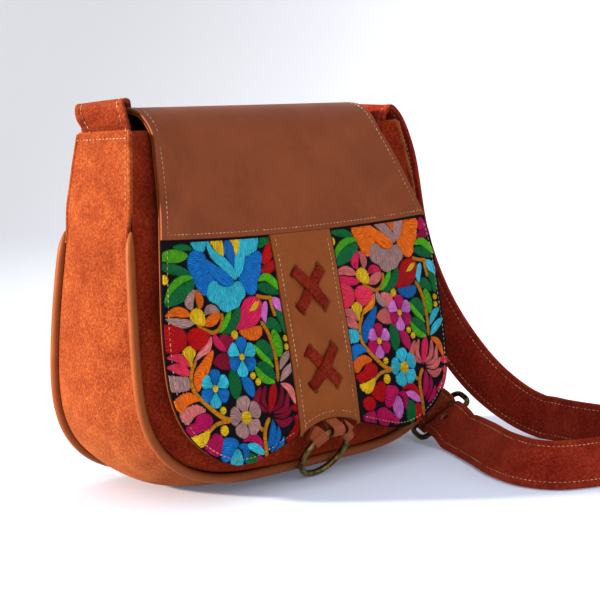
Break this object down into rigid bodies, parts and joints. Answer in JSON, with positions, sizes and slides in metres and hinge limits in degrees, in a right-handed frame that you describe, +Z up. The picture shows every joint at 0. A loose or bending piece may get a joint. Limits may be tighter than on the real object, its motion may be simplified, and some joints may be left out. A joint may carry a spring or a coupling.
{
  "type": "suede crossbody bag",
  "caption": "D-shaped suede shoulder bag with piped seams, an embroidered leather flap laced down the middle, a brass ring and a long buckled strap.",
  "frame": {"origin": "middle of the bag's base, on the floor", "axes": "+X to the right as the front is seen, +Y to the back, +Z up; the front with the flap faces -Y"},
  "size_m": [0.4159, 0.2782, 0.2359],
  "materials": {
    "body_suede": "rust-orange suede with a raised nap",
    "strap_suede": "rust-red suede, two layers stitched at both edges",
    "lace_suede": "rust-red suede band",
    "piping_leather": "smooth tan leather",
    "flap_leather": "smooth brown leather, satin sheen",
    "strip_leather": "smooth mid-brown leather, satin sheen",
    "embroidered_cloth": "dense satin-stitch flowers and leaves on a black ground",
    "ring_brass": "antique brass",
    "buckle_brass": "dark antique brass"
  },
  "bodies": {
    "root": {"front_panel": "body_suede", "back_panel": "body_suede", "gusset": "body_suede", "piping_front": "piping_leather", "piping_back": "piping_leather", "flap_backing": "piping_leather", "flap_top": "flap_leather", "embroidery_left": "embroidered_cloth", "embroidery_right": "embroidered_cloth", "flap_strip": "strip_leather", "lace_upper_over": "lace_suede", "lace_upper_under": "lace_suede", "lace_lower_over": "lace_suede", "lace_lower_under": "lace_suede", "ring": "ring_brass", "ring_loop_left": "strip_leather", "ring_loop_middle": "strip_leather", "ring_loop_right": "strip_leather", "strap_long": "strap_suede", "strap_short": "strap_suede", "buckle_frame": "buckle_brass", "buckle_prong": "buckle_brass"}
  },
  "joints": []
}
